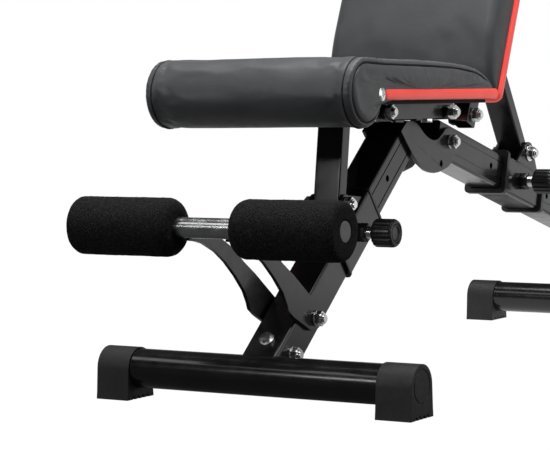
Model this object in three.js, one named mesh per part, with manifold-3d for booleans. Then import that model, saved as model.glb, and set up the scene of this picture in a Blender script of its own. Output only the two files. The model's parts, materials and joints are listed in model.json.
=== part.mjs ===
// Decline sit up bench: a folded steel frame with a sliding seat support and a sliding backrest support.
// Millimetres, +Z up, +X from the foot rollers towards the backrest, +Y to the user's left when seated.

import * as THREE from 'three';
import { mergeVertices } from 'three/addons/utils/BufferGeometryUtils.js';
import Module from 'manifold-3d';

const wasm = await Module();
wasm.setup();

// Overall layout. Side-view points are [x, z] measured from the front foot bar.
const ORIGIN_X = 479.5;
const GAP = 0.3;

// Frame tubes
const FOOT_R = 25;
const FOOT_Z = 38.8;
const FOOT_HALF = 220.5;
const FOOT_WALL = 2.5;
const REAR_X = 1080;
const TUBE = 50;
const TUBE_WALL = 2.5;
const TUBE_CORNER = 4.5;
const LEG_ANGLE = 39;
const LEG_TOP = [0.3, 65.6];
const LEG_END = 445;
const BEAM_ANGLE = -14.9;
const BEAM_TOP = [471, 343.3];
const BEAM_START = -16.5;
const BEAM_END = 651;
const PIN_PITCH_SEAT = 53.5;
const PIN_PITCH_BACK = 52;
const PIN_HOLE_R = 4.6;

// Foot caps
const CAP_INNER = 177;
const CAP_OUTER = 225;
const CAP_R = 27;
const CAP_FOOT_HALF = 29.5;
const TOOTH_PITCH = 10;
const TOOTH_GAP = 4;
const TOOTH_DEPTH = 4;

// Foot rollers
const ROLLER_AXIS = [-115, 227.6];
const ROLLER_BAR_R = 12.5;
const ROLLER_BAR_HALF = 184.5;
const ROLLER_R = 35.5;
const ROLLER_LENGTH = 142;
const ROLLER_OUT_RIGHT = 187.3;
const ROLLER_OUT_LEFT = 183;
const ROLLER_EDGE = 6;
const ARM_IN = 25.3;
const ARM_THICK = 5;

// Hub
const PLATE_IN = 25.3;
const PLATE_THICK = 5;
const HUB_BOLT = [473, 316.5];
const SEAT_PIVOT = [379, 359];
const BACK_PIVOT = [460, 354];
const CHEEK_IN = 41;
const CHEEK_THICK = 4;

// Sliding sleeves
const SLEEVE = 57;
const SLEEVE_WALL = 2.8;
const LINER = 4;
const BACK_LINER = 8;
const SEAT_SLEEVE = [196, 306];
const SEAT_PIN_S = 251;
const BACK_SLEEVE = [198, 340];
const BACK_PIN_S = 264;
const EAR_IN = 20.5;
const EAR_THICK = 4;
const PIVOT_RISE = 24;

// Seat
const POST_TOP = [197, 361];
const POST_WIDE = 39;
const POST_DEEP = 20;
const RAIL_IN = 46;
const RAIL_OUT = 72;
const BOSS = 4;
const SEAT_RAIL_Z = [351, 371];
const SEAT_RAIL_X = [173, 400];
const SEAT_HALF = 146;
const SEAT_BASE_Z = 376.3;
const SEAT_TOP_Z = 427;
const SEAT_REAR_X = 376;
const ROLL_AXIS = [14.4, 385.8];
const ROLL_R = 42.4;

// Backrest, measured along it (d) and towards its front (n) from its pivot
const BACK_ANGLE = 66.3;
const BACK_RAIL_HALF = 14;
const BACK_RAIL_END = 640;
const BACK_HALF = 130;
const BACK_PAD_D = [4, 712];
const BACK_PAD_N = [39.3, 89];
const STRUT_TOP_D = 252.7;

const BOLT_R = 5;

const RAD = Math.PI / 180;

function direction(angle) {
  return [Math.cos(angle * RAD), Math.sin(angle * RAD)];
}

// Point at distance s along a line from p at the given angle, and h above it.
function along(p, angle, s, h) {
  const [c, k] = direction(angle);
  return [p[0] + c * s - k * h, p[1] + k * s + c * h];
}

function solid(geometry) {
  const g = geometry.clone();
  g.deleteAttribute('normal');
  g.deleteAttribute('uv');
  const merged = mergeVertices(g, 1e-4);
  const vertProperties = new Float32Array(merged.attributes.position.array);
  const triVerts = new Uint32Array(merged.index.array);
  return new wasm.Manifold(new wasm.Mesh({ numProp: 3, vertProperties, triVerts }));
}

function geometryOf(manifold) {
  const mesh = manifold.getMesh();
  const g = new THREE.BufferGeometry();
  g.setAttribute('position', new THREE.BufferAttribute(new Float32Array(mesh.vertProperties), 3));
  g.setIndex(new THREE.BufferAttribute(new Uint32Array(mesh.triVerts), 1));
  g.computeVertexNormals();
  return g;
}

function union(...parts) {
  return parts.reduce((a, b) => a.add(b));
}

function cut(body, ...tools) {
  return tools.reduce((a, b) => a.subtract(b), body);
}

function shapeOf(points) {
  return new THREE.Shape(points.map((p) => new THREE.Vector2(p[0], p[1])));
}

function roundedRect(w, h, r) {
  const s = new THREE.Shape();
  const x = w / 2;
  const y = h / 2;
  s.moveTo(-x + r, -y);
  s.lineTo(x - r, -y);
  s.absarc(x - r, -y + r, r, -Math.PI / 2, 0, false);
  s.lineTo(x, y - r);
  s.absarc(x - r, y - r, r, 0, Math.PI / 2, false);
  s.lineTo(-x + r, y);
  s.absarc(-x + r, y - r, r, Math.PI / 2, Math.PI, false);
  s.lineTo(-x, -y + r);
  s.absarc(-x + r, -y + r, r, Math.PI, Math.PI * 1.5, false);
  return s;
}

// Extrude a section (across, up) along a side-view line, from s0 to s1 and h above the line.
function extrudeAlong(shape, p, angle, s0, s1, h, curveSegments = 3) {
  const g = new THREE.ExtrudeGeometry(shape, { depth: s1 - s0, bevelEnabled: false, curveSegments });
  const [c, k] = direction(angle);
  const start = along(p, angle, s0, h);
  const m = new THREE.Matrix4().makeBasis(
    new THREE.Vector3(0, 1, 0),
    new THREE.Vector3(-k, 0, c),
    new THREE.Vector3(c, 0, k),
  );
  m.setPosition(start[0], 0, start[1]);
  g.applyMatrix4(m);
  return solid(g);
}

function squareTube(w, h, wall, r, p, angle, s0, s1, rise) {
  const outer = extrudeAlong(roundedRect(w, h, r), p, angle, s0, s1, rise);
  const inner = roundedRect(w - 2 * wall, h - 2 * wall, Math.max(r - wall, 0.8));
  return cut(outer, extrudeAlong(inner, p, angle, s0 - 1, s1 + 1, rise));
}

// Plate lying in a side-view plane, between y0 and y1.
function plate(points, y0, y1, curveSegments = 8) {
  const shape = Array.isArray(points) ? shapeOf(points) : points;
  const g = new THREE.ExtrudeGeometry(shape, { depth: y1 - y0, bevelEnabled: false, curveSegments });
  g.rotateX(Math.PI / 2);
  g.translate(0, y1, 0);
  return solid(g);
}

// Cylinder along Y at a side-view point.
function rod(p, r, y0, y1, segments = 32) {
  const g = new THREE.CylinderGeometry(r, r, y1 - y0, segments);
  g.translate(p[0], (y0 + y1) / 2, p[1]);
  return solid(g);
}

function box(x0, x1, y0, y1, z0, z1) {
  const g = new THREE.BoxGeometry(x1 - x0, y1 - y0, z1 - z0);
  g.translate((x0 + x1) / 2, (y0 + y1) / 2, (z0 + z1) / 2);
  return solid(g);
}

function hexNut(p, across, y0, y1) {
  return rod(p, across / Math.sqrt(3), y0, y1, 6);
}

// Through bolt along Y: washer and hexagon at each end, all one piece.
function throughBolt(p, half, r = BOLT_R, washer = 10) {
  const y = half + GAP;
  return union(
    rod(p, r, -y - 14, y + 2, 12),
    rod(p, washer, y, y + 2, 20),
    hexNut(p, 17, y + 1.5, y + 9),
    rod(p, washer, -y - 2, -y, 20),
    hexNut(p, 17, -y - 9.5, -y - 1.5),
    rod(p, 7, -y - 12, -y - 9, 16),
  );
}

function mirrorY(manifold) {
  return manifold.mirror([0, 1, 0]);
}

const group = new THREE.Group();
group.name = 'decline_sit_up_bench';

const FINISH = {
  gloss_black: { color: 0x101114, roughness: 0.22, metalness: 0.35 },
  dark_chrome: { color: 0x50545a, roughness: 0.25, metalness: 0.9 },
  zinc: { color: 0xc9ccd0, roughness: 0.3, metalness: 0.95 },
  rubber: { color: 0x1b1c1e, roughness: 0.75, metalness: 0 },
  black_plastic: { color: 0x161719, roughness: 0.45, metalness: 0 },
  grey_plastic: { color: 0x55585c, roughness: 0.5, metalness: 0 },
  foam: { color: 0x141416, roughness: 0.95, metalness: 0 },
  leatherette: { color: 0x2b2d31, roughness: 0.5, metalness: 0 },
  board: { color: 0x151515, roughness: 0.8, metalness: 0 },
  red_trim: { color: 0xd8322c, roughness: 0.4, metalness: 0 },
};

function add(name, manifold, finish) {
  const moved = manifold.translate([-ORIGIN_X, 0, 0]);
  const mesh = new THREE.Mesh(geometryOf(moved), new THREE.MeshStandardMaterial(FINISH[finish]));
  mesh.name = name;
  group.add(mesh);
}

function addPair(name, manifold, finish) {
  add(`${name}_right`, manifold, finish);
  add(`${name}_left`, mirrorY(manifold), finish);
}

// ---- Foot bars and rubber caps ----

function footBar(x) {
  const p = [x, FOOT_Z];
  return cut(
    rod(p, FOOT_R, -FOOT_HALF, FOOT_HALF, 36),
    rod(p, FOOT_R - FOOT_WALL, -FOOT_HALF - 1, FOOT_HALF + 1, 24),
  );
}

function footCap(x) {
  const points = [[-CAP_FOOT_HALF, 0]];
  for (let i = -2; i <= 1; i += 1) {
    const middle = (i + 0.5) * TOOTH_PITCH;
    points.push([middle - TOOTH_GAP / 2, 0]);
    points.push([middle - TOOTH_GAP / 2, TOOTH_DEPTH]);
    points.push([middle + TOOTH_GAP / 2, TOOTH_DEPTH]);
    points.push([middle + TOOTH_GAP / 2, 0]);
  }
  points.push([CAP_FOOT_HALF, 0]);
  points.push([CAP_FOOT_HALF - 1, 10]);
  const steps = 14;
  for (let i = 0; i <= steps; i += 1) {
    const a = Math.PI * i / steps;
    points.push([CAP_R * Math.cos(a), FOOT_Z + CAP_R * Math.sin(a)]);
  }
  points.push([-CAP_FOOT_HALF + 1, 10]);
  const moved = points.map((q) => [q[0] + x, q[1]]);
  const body = plate(moved, -CAP_OUTER, -CAP_INNER);
  const socket = rod([x, FOOT_Z], FOOT_R + GAP, -FOOT_HALF - GAP, -CAP_INNER + 1, 36);
  const ring = cut(
    rod([x, FOOT_Z], 21, -CAP_OUTER - 1, -CAP_OUTER + 0.8, 28),
    rod([x, FOOT_Z], 19.2, -CAP_OUTER - 2, -CAP_OUTER + 2, 28),
  );
  return cut(body, socket, ring);
}

add('front_foot_bar', footBar(0), 'gloss_black');
addPair('front_foot_cap', footCap(0), 'rubber');
add('rear_foot_bar', footBar(REAR_X), 'gloss_black');
addPair('rear_foot_cap', footCap(REAR_X), 'rubber');

// ---- Front leg ----

const ARM_BOLT = [89, 103];
const FOOT_BOLT_S = 27;
const SCREW_S = 25;
const footBolt = along(LEG_TOP, LEG_ANGLE, FOOT_BOLT_S, -TUBE / 2 - 1);
const legHoles = [0, 1, 2].map((i) => {
  const p = along(LEG_TOP, LEG_ANGLE, SEAT_PIN_S + i * PIN_PITCH_SEAT, -TUBE / 2);
  return rod(p, PIN_HOLE_R, -30, 0, 12);
});
const topScrewHole = extrudeAlong(
  new THREE.Shape().absarc(0, 0, 4.3, 0, Math.PI * 2, false),
  along(LEG_TOP, LEG_ANGLE, SCREW_S, 0), LEG_ANGLE + 90, -12, 4, 0, 10,
);

// Two shallow grooves along each side of a tube, where its sleeve slides.
function sideGrooves(p, angle, s0, s1) {
  const grooves = [];
  for (const side of [-1, 1]) {
    for (const rise of [-TUBE / 2 - 12, -TUBE / 2 + 12]) {
      const section = shapeOf([[side * 24.2, -1], [side * 26, -1], [side * 26, 1], [side * 24.2, 1]]);
      grooves.push(extrudeAlong(section, p, angle, s0, s1, rise));
    }
  }
  return grooves;
}

const leg = cut(
  squareTube(TUBE, TUBE, TUBE_WALL, TUBE_CORNER, LEG_TOP, LEG_ANGLE, -6, LEG_END, -TUBE / 2),
  rod([0, FOOT_Z], FOOT_R + GAP, -60, 60, 32),
  rod(ARM_BOLT, BOLT_R + GAP, -60, 60, 16),
  rod(footBolt, BOLT_R + GAP, -60, 60, 16),
  topScrewHole,
  ...legHoles,
  ...sideGrooves(LEG_TOP, LEG_ANGLE, 190, 436),
);
add('front_leg', leg, 'gloss_black');
add('front_leg_bolt', throughBolt(footBolt, TUBE / 2), 'zinc');

function discAt(p, angle, r, s0, s1, segments = 24) {
  const g = new THREE.CylinderGeometry(r, r, s1 - s0, segments);
  g.rotateZ(-Math.PI / 2);
  g.translate((s0 + s1) / 2, 0, 0);
  g.rotateY(-angle * RAD);
  g.translate(p[0], 0, p[1]);
  return solid(g);
}

const topScrewFoot = along(LEG_TOP, LEG_ANGLE, SCREW_S, 0);
add('front_leg_screw', union(
  discAt(topScrewFoot, LEG_ANGLE + 90, 4, -8, 2),
  discAt(topScrewFoot, LEG_ANGLE + 90, 10, GAP, 2, 28),
  discAt(topScrewFoot, LEG_ANGLE + 90, 8.5, 1.5, 6, 6),
), 'zinc');

// ---- Roller arms, bar and foam rollers ----

const armOutline = [
  [-115, 212.2], [-100, 210.5], [-82, 206.5], [-55, 195], [-33, 181], [-10, 162], [10, 142],
  [19, 127], [22.5, 118], [35, 109.5], [52, 101], [66, 94.5], [77, 88.5], [88, 87.5], [98, 91], [104, 99],
  [104, 108], [98, 117], [91, 122], [73, 135], [35, 162], [8.6, 178.6], [-14.5, 196.6], [-45, 211.5],
  [-75, 220], [-97, 224], [-103, 231],
];
const arm = cut(
  plate(armOutline, -ARM_IN - ARM_THICK, -ARM_IN),
  rod(ROLLER_AXIS, ROLLER_BAR_R + GAP, -60, 60, 40),
  rod(ARM_BOLT, BOLT_R + GAP, -60, 60, 16),
);
addPair('roller_arm', arm, 'gloss_black');
add('roller_arm_bolt', throughBolt(ARM_BOLT, ARM_IN + ARM_THICK), 'zinc');
add('roller_bar', cut(
  rod(ROLLER_AXIS, ROLLER_BAR_R, -ROLLER_BAR_HALF, ROLLER_BAR_HALF, 28),
  rod(ROLLER_AXIS, ROLLER_BAR_R - 2, -ROLLER_BAR_HALF - 1, ROLLER_BAR_HALF + 1, 20),
), 'dark_chrome');
addPair('roller_bar_plug', union(
  rod(ROLLER_AXIS, ROLLER_BAR_R, -ROLLER_BAR_HALF - 3, -ROLLER_BAR_HALF - GAP, 24),
  rod(ROLLER_AXIS, ROLLER_BAR_R - 2 - GAP, -ROLLER_BAR_HALF - 1, -ROLLER_BAR_HALF + 14, 16),
), 'grey_plastic');

function foamRoller(outer) {
  const bore = ROLLER_BAR_R + GAP;
  const edge = ROLLER_EDGE;
  const profile = [[bore, 0], [ROLLER_R - edge, 0]];
  for (let i = 1; i <= 4; i += 1) {
    const a = (Math.PI / 2) * i / 4;
    profile.push([ROLLER_R - edge + edge * Math.sin(a), edge - edge * Math.cos(a)]);
  }
  const length = ROLLER_LENGTH;
  for (let i = 0; i <= 4; i += 1) {
    const a = (Math.PI / 2) * i / 4;
    profile.push([ROLLER_R - edge + edge * Math.cos(a), length - edge + edge * Math.sin(a)]);
  }
  profile.push([bore, length]);
  profile.push([bore, 0]);
  const g = new THREE.LatheGeometry(profile.map((q) => new THREE.Vector2(q[0], q[1])), 32);
  g.translate(ROLLER_AXIS[0], -outer, ROLLER_AXIS[1]);
  return solid(g);
}
add('foam_roller_right', foamRoller(ROLLER_OUT_RIGHT), 'foam');
add('foam_roller_left', mirrorY(foamRoller(ROLLER_OUT_LEFT)), 'foam');

// ---- Hub plates, beam and rear upright ----

const hubOutline = [
  [325, 334], [341, 318], [359, 301.5], [376, 288], [395, 279], [409, 275.5], [423, 274], [439, 275],
  [454, 278], [466, 280.5], [475, 285], [483, 291], [489, 298], [493.5, 306], [495, 315], [493, 325],
  [486, 333], [473, 337], [459, 334.5], [448, 327], [438, 322], [430, 320], [421, 320], [411, 322],
  [401, 326], [391, 331.5], [383, 338], [373, 344], [361, 347], [344, 348],
];
const hubPlate = cut(
  plate(hubOutline, -PLATE_IN - PLATE_THICK, -PLATE_IN),
  rod(HUB_BOLT, BOLT_R + GAP, -60, 60, 16),
  rod([445, 287], 4.5, -60, 60, 20),
);
addPair('hub_plate', hubPlate, 'gloss_black');
add('hub_bolt', throughBolt(HUB_BOLT, PLATE_IN + PLATE_THICK), 'zinc');

const beamHoles = [0, 1, 2, 3, 4, 5, 6].map((i) => {
  const p = along(BEAM_TOP, BEAM_ANGLE, BACK_PIN_S + (i - 2) * PIN_PITCH_BACK, -TUBE / 2);
  return rod(p, PIN_HOLE_R, -30, 0, 12);
});
add('main_beam', cut(
  squareTube(TUBE, TUBE, TUBE_WALL, TUBE_CORNER, BEAM_TOP, BEAM_ANGLE, BEAM_START, BEAM_END, -TUBE / 2),
  rod(HUB_BOLT, BOLT_R + GAP, -60, 60, 16),
  ...beamHoles,
  ...sideGrooves(BEAM_TOP, BEAM_ANGLE, 16, 500),
), 'gloss_black');
add('beam_end_cap', union(
  extrudeAlong(roundedRect(TUBE, TUBE, TUBE_CORNER), BEAM_TOP, BEAM_ANGLE, BEAM_END + GAP, BEAM_END + 5, -TUBE / 2),
  extrudeAlong(roundedRect(44, 44, 2), BEAM_TOP, BEAM_ANGLE, BEAM_END - 14, BEAM_END + 1, -TUBE / 2),
), 'black_plastic');

const beamEnvelope = extrudeAlong(
  shapeOf([[-40, -TUBE - GAP], [40, -TUBE - GAP], [40, 200], [-40, 200]]),
  BEAM_TOP, BEAM_ANGLE, 300, 900, 0,
);
add('rear_upright', cut(
  squareTube(TUBE, TUBE, TUBE_WALL, TUBE_CORNER, [REAR_X, 0], 90, 45, 200, 0),
  beamEnvelope,
  rod([REAR_X, FOOT_Z], FOOT_R + GAP, -60, 60, 32),
), 'gloss_black');

// ---- Cradle that carries the seat and backrest pivots ----

const cheekOutline = [
  [340, 348.4], [445, 348.4], [447, 343], [460, 339.5], [472, 343], [476, 354], [472, 365], [460, 369],
  [448, 366], [440, 361], [404, 362], [394, 367], [379, 369], [364, 367], [352, 356],
];
const cheek = plate(cheekOutline, -CHEEK_IN - CHEEK_THICK, -CHEEK_IN);
add('hinge_cradle', cut(
  union(
    box(340, 445, -CHEEK_IN - 1, CHEEK_IN + 1, 348.4, 352.2),
    cheek,
    mirrorY(cheek),
  ),
  rod(SEAT_PIVOT, BOLT_R + GAP, -60, 60, 16),
  rod(BACK_PIVOT, BOLT_R + GAP, -60, 60, 16),
), 'gloss_black');
add('seat_pivot_bolt', throughBolt(SEAT_PIVOT, RAIL_OUT + BOSS, BOLT_R, 8.5), 'zinc');
add('back_pivot_bolt', throughBolt(BACK_PIVOT, RAIL_OUT), 'zinc');

// ---- Sliding sleeves with their pull pins ----

// An ear is a rounded lug standing on the sleeve, with its pivot hole or slot.
function sleeve(p, angle, s0, s1, pivotS, pinS, earR, slot) {
  const size = SLEEVE;
  const tube = squareTube(size, size, SLEEVE_WALL, 6, p, angle, s0, s1, -TUBE / 2);
  const top = (size - TUBE) / 2;
  const ear = [[-38, top - 2], [38, top - 2], [36, top + 2]];
  for (let i = 0; i <= 10; i += 1) {
    const a = Math.PI * (0.12 + 0.76 * i / 10);
    ear.push([earR * Math.cos(a), PIVOT_RISE + earR * Math.sin(a)]);
  }
  ear.push([-36, top + 2]);
  const earPoints = ear.map((q) => along(p, angle, pivotS + q[0], q[1]));
  const lug = plate(earPoints, -EAR_IN - EAR_THICK, -EAR_IN);
  const pivot = along(p, angle, pivotS, PIVOT_RISE);
  const pin = along(p, angle, pinS, -TUBE / 2);
  const tools = [rod(pivot, BOLT_R + GAP, -60, 60, 16), rod(pin, PIN_HOLE_R, -60, 0, 12)];
  if (slot) {
    const corners = [[slot[0], slot[2]], [slot[1], slot[2]], [slot[1], slot[3]], [slot[0], slot[3]]];
    tools.push(plate(corners.map((k) => along(p, angle, pivotS + k[0], PIVOT_RISE + k[1])), -60, 60));
  }
  return cut(union(tube, lug, mirrorY(lug)), ...tools);
}

function liner(p, angle, s0, s1, size) {
  const outer = extrudeAlong(roundedRect(size, size, 6.5), p, angle, s0, s1, -TUBE / 2);
  const hole = roundedRect(TUBE + 0.8, TUBE + 0.8, TUBE_CORNER + 0.4);
  return cut(outer, extrudeAlong(hole, p, angle, s0 - 1, s1 + 1, -TUBE / 2));
}

function pinBarrel(pin) {
  const y = -SLEEVE / 2 - GAP;
  return cut(
    union(hexNut(pin, 22, y - 11, y), rod(pin, 8, y - 20, y - 10, 20)),
    rod(pin, 4.4, y - 30, y + 1, 12),
  );
}

function pullKnob(pin) {
  const y = -SLEEVE / 2 - 20 - 2 * GAP;
  const flutes = [];
  const count = 12;
  for (let i = 0; i < count; i += 1) {
    const a = 2 * Math.PI * i / count;
    const q = [pin[0] + 19.3 * Math.cos(a), pin[1] + 19.3 * Math.sin(a)];
    flutes.push(rod(q, 2.6, y - 29, y - 3, 6));
  }
  const body = cut(
    union(rod(pin, 15, y - 2.5, y, 20), rod(pin, 18, y - 31, y - 2, 36), rod(pin, 16.5, y - 33, y - 30, 24)),
    ...flutes,
  );
  const groove = cut(rod(pin, 12.5, y - 34, y - 32.2, 20), rod(pin, 10.5, y - 35, y - 32, 20));
  return union(cut(body, groove), rod(pin, 4, y - 1, -TUBE / 2 - GAP, 12));
}

const seatPin = along(LEG_TOP, LEG_ANGLE, SEAT_PIN_S, -TUBE / 2);
const backPin = along(BEAM_TOP, BEAM_ANGLE, BACK_PIN_S, -TUBE / 2);
const postBase = along(LEG_TOP, LEG_ANGLE, SEAT_PIN_S, PIVOT_RISE);
const STRUT_BASE_S = 287.5;
const strutBase = along(BEAM_TOP, BEAM_ANGLE, STRUT_BASE_S, PIVOT_RISE);

const [seatLow, seatHigh] = SEAT_SLEEVE;
add('seat_sleeve', sleeve(
  LEG_TOP, LEG_ANGLE, seatLow + LINER, seatHigh - LINER, SEAT_PIN_S, SEAT_PIN_S, 13, null,
), 'gloss_black');
add('seat_liner_low', liner(LEG_TOP, LEG_ANGLE, seatLow, seatLow + LINER - GAP, SLEEVE + 2), 'black_plastic');
add('seat_liner_high', liner(LEG_TOP, LEG_ANGLE, seatHigh - LINER + GAP, seatHigh, SLEEVE + 2), 'black_plastic');
add('seat_post_bolt', throughBolt(postBase, EAR_IN + EAR_THICK), 'zinc');
add('seat_pin_barrel', pinBarrel(seatPin), 'zinc');
add('seat_knob', pullKnob(seatPin), 'black_plastic');

// The strut's base bolt floats in this opening of the ears: from and to along the beam, then across it.
const BACK_EAR_SLOT = [-6.4, 10, -10.8, 10.4];
const [backFront, backRear] = BACK_SLEEVE;
add('back_sleeve', sleeve(
  BEAM_TOP, BEAM_ANGLE, backFront + BACK_LINER, backRear - BACK_LINER, STRUT_BASE_S, BACK_PIN_S, 17, BACK_EAR_SLOT,
), 'gloss_black');
const backLinerSize = SLEEVE + 9;
add('back_liner_front', liner(
  BEAM_TOP, BEAM_ANGLE, backFront, backFront + BACK_LINER - GAP, backLinerSize,
), 'black_plastic');
add('back_liner_rear', liner(
  BEAM_TOP, BEAM_ANGLE, backRear - BACK_LINER + GAP, backRear, backLinerSize,
), 'black_plastic');
add('back_pin_barrel', pinBarrel(backPin), 'zinc');
add('back_knob', pullKnob(backPin), 'black_plastic');

// ---- Seat post ----

const postAngle = Math.atan2(POST_TOP[1] - postBase[1], POST_TOP[0] - postBase[0]) / RAD;
const postLength = Math.hypot(POST_TOP[0] - postBase[0], POST_TOP[1] - postBase[1]);
const postSection = [POST_WIDE, POST_DEEP, 2, 3];
const slotLow = along(postBase, postAngle, postLength - 4, 0);
const slotOutline = [[-4, -7], [12, -7], [12, 7], [-4, 7]].map((q) => along(
  postBase, postAngle, postLength + q[0], q[1],
));
add('seat_post', cut(
  squareTube(...postSection, postBase, postAngle, -12, postLength + 4, 0),
  rod(postBase, BOLT_R + GAP, -60, 60, 16),
  rod(slotLow, 7, -60, 60, 24),
  plate(slotOutline, -60, 60),
  discAt(along(postBase, postAngle, -12, 0), postAngle + 90, 9, -30, 30, 28),
), 'gloss_black');

// ---- Seat ----

function seatRail() {
  const [x0, x1] = SEAT_RAIL_X;
  const [z0, z1] = SEAT_RAIL_Z;
  const outer = union(
    box(x0, x1, -RAIL_OUT, -RAIL_IN, z0, z1),
    rod(POST_TOP, 9.6, -RAIL_OUT - BOSS, -RAIL_OUT + 1, 24),
    rod(SEAT_PIVOT, 9.6, -RAIL_OUT - BOSS, -RAIL_OUT + 1, 24),
  );
  const inner = box(x0 - 1, x1 + 1, -RAIL_OUT + 2, -RAIL_IN - 2, z0 + 2, z1 - 2);
  return cut(
    outer,
    inner,
    rod(SEAT_PIVOT, BOLT_R + GAP, -100, 0, 16),
    rod(POST_TOP, BOLT_R + GAP, -100, 0, 16),
  );
}
addPair('seat_rail', seatRail(), 'gloss_black');
const screwHead = [];
for (let i = 0; i < 6; i += 1) {
  screwHead.push([-59 + 8.5 * Math.cos(i * Math.PI / 3), 8.5 * Math.sin(i * Math.PI / 3)]);
}
addPair('seat_rail_screw', extrudeAlong(
  shapeOf(screwHead), [344, 0], 90, SEAT_RAIL_Z[0] - 5.5, SEAT_RAIL_Z[0] - GAP, 0,
), 'zinc');
add('seat_front_bolt', throughBolt(POST_TOP, RAIL_OUT + BOSS, BOLT_R, 8.5), 'zinc');
add('seat_board', cut(
  box(64, 366, -136, 136, SEAT_RAIL_Z[1] + GAP, SEAT_BASE_Z - GAP),
  box(176, 218, -24, 24, 360, 380),
), 'board');

function seatPadOutline() {
  const points = [[SEAT_REAR_X - 1, SEAT_BASE_Z]];
  const startAngle = Math.asin((SEAT_BASE_Z - ROLL_AXIS[1]) / ROLL_R);
  const steps = 22;
  for (let i = 0; i <= steps; i += 1) {
    const a = startAngle - (startAngle + Math.PI * 1.5) * i / steps;
    points.push([ROLL_AXIS[0] + ROLL_R * Math.cos(a), ROLL_AXIS[1] + ROLL_R * Math.sin(a)]);
  }
  points.push([60, SEAT_TOP_Z + 0.6]);
  points.push([200, SEAT_TOP_Z]);
  points.push([270, 424.5]);
  points.push([310, 419.5]);
  points.push([340, 412]);
  points.push([358, 403.5]);
  points.push([370, 394]);
  points.push([SEAT_REAR_X, 383]);
  return points.reverse();
}

function cushion(outline, halfWidth, bevel) {
  const g = new THREE.ExtrudeGeometry(shapeOf(outline), {
    depth: 2 * (halfWidth - bevel),
    bevelEnabled: true,
    bevelThickness: bevel,
    bevelSize: bevel,
    bevelOffset: -bevel,
    bevelSegments: 3,
    curveSegments: 6,
  });
  g.rotateX(Math.PI / 2);
  g.translate(0, halfWidth - bevel, 0);
  return solid(g);
}
add('seat_pad', cushion(seatPadOutline(), SEAT_HALF, 5), 'leatherette');

const TRIM_Z = [376.3, 390];
const TRIM_BUTTON = [49, 383.2];
addPair('seat_trim', box(
  TRIM_BUTTON[0] + 9, SEAT_REAR_X - 1, -SEAT_HALF - 4, -SEAT_HALF - GAP, TRIM_Z[0], TRIM_Z[1],
), 'red_trim');
addPair('seat_trim_button', rod(TRIM_BUTTON, 8.5, -SEAT_HALF - 4.5, -SEAT_HALF - GAP, 28), 'zinc');

// ---- Backrest ----

function backTube(y0, y1, d0, d1, n0, n1, wall) {
  const w = y1 - y0;
  const h = n1 - n0;
  const tube = squareTube(w, h, wall, 3, BACK_PIVOT, BACK_ANGLE, d0, d1, (n0 + n1) / 2);
  return tube.translate([0, (y0 + y1) / 2, 0]);
}

function backPoint(d, n) {
  return along(BACK_PIVOT, BACK_ANGLE, d, n);
}

function backBox(y0, y1, d0, d1, n0, n1) {
  return plate([[d0, n0], [d1, n0], [d1, n1], [d0, n1]].map((q) => backPoint(q[0], q[1])), y0, y1);
}

const strutTop = backPoint(STRUT_TOP_D, 0);
addPair('back_rail', cut(
  backTube(-RAIL_OUT, -RAIL_IN, -BACK_RAIL_HALF, BACK_RAIL_END, -BACK_RAIL_HALF, BACK_RAIL_HALF, 2),
  rod(BACK_PIVOT, BOLT_R + GAP, -100, 0, 16),
  rod(strutTop, BOLT_R + GAP, -100, 0, 16),
), 'gloss_black');

function backCross(d) {
  const outer = backBox(-95, 95, d - 15, d + 15, BACK_RAIL_HALF + GAP, 33.7);
  const inner = backBox(-96, 96, d - 13, d + 13, BACK_RAIL_HALF + 2 + GAP, 31.7);
  return cut(outer, inner);
}
add('back_cross_low', backCross(110), 'gloss_black');
add('back_cross_high', backCross(580), 'gloss_black');
add('back_board', backBox(-120, 120, BACK_PAD_D[0] + 12, BACK_PAD_D[1] - 12, 34, 39), 'board');

function backPad() {
  const [d0, d1] = BACK_PAD_D;
  const [n0, n1] = BACK_PAD_N;
  const r = 24;
  const points = [[d0, n0], [d1, n0]];
  for (let i = 0; i <= 7; i += 1) {
    const a = (Math.PI / 2) * i / 7;
    points.push([d1 - r + r * Math.cos(a), n1 - r + r * Math.sin(a)]);
  }
  for (let i = 0; i <= 7; i += 1) {
    const a = Math.PI / 2 + (Math.PI / 2) * i / 7;
    points.push([d0 + r + r * Math.cos(a), n1 - r + r * Math.sin(a)]);
  }
  return cushion(points.map((q) => backPoint(q[0], q[1])), BACK_HALF, 8);
}
add('back_pad', backPad(), 'leatherette');

// One strip that runs up both sides of the backrest and round its lower end.
function backTrim() {
  const [n0, n1] = [BACK_PAD_N[0], BACK_PAD_N[0] + 13.5];
  const [d0, d1] = [BACK_PAD_D[0] - 4, BACK_PAD_D[1] - 8];
  return cut(
    backBox(-BACK_HALF - 4, BACK_HALF + 4, d0, d1, n0, n1),
    backBox(-BACK_HALF - GAP, BACK_HALF + GAP, BACK_PAD_D[0] - GAP, d1 + 1, n0 - 1, n1 + 1),
  );
}
add('back_trim', backTrim(), 'red_trim');
add('strut_top_bolt', throughBolt(strutTop, RAIL_OUT), 'zinc');

// ---- Backrest strut ----

const strutAngle = Math.atan2(strutTop[1] - strutBase[1], strutTop[0] - strutBase[0]) / RAD;
const strutLength = Math.hypot(strutTop[0] - strutBase[0], strutTop[1] - strutBase[1]);
add('strut', cut(
  squareTube(POST_WIDE, POST_DEEP, 2, 3, strutBase, strutAngle, -12, strutLength + 12, 0),
  rod(strutBase, BOLT_R + GAP, -60, 60, 16),
  rod(strutTop, BOLT_R + GAP, -60, 60, 16),
), 'gloss_black');
add('strut_base_bolt', throughBolt(strutBase, EAR_IN + EAR_THICK, BOLT_R, 12.5), 'zinc');

export default group;
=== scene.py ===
"""Looks of the decline sit up bench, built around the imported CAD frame. Metres, +Z up."""

import json
import math

import bmesh
import bpy
from mathutils import Matrix, Vector, noise


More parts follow.
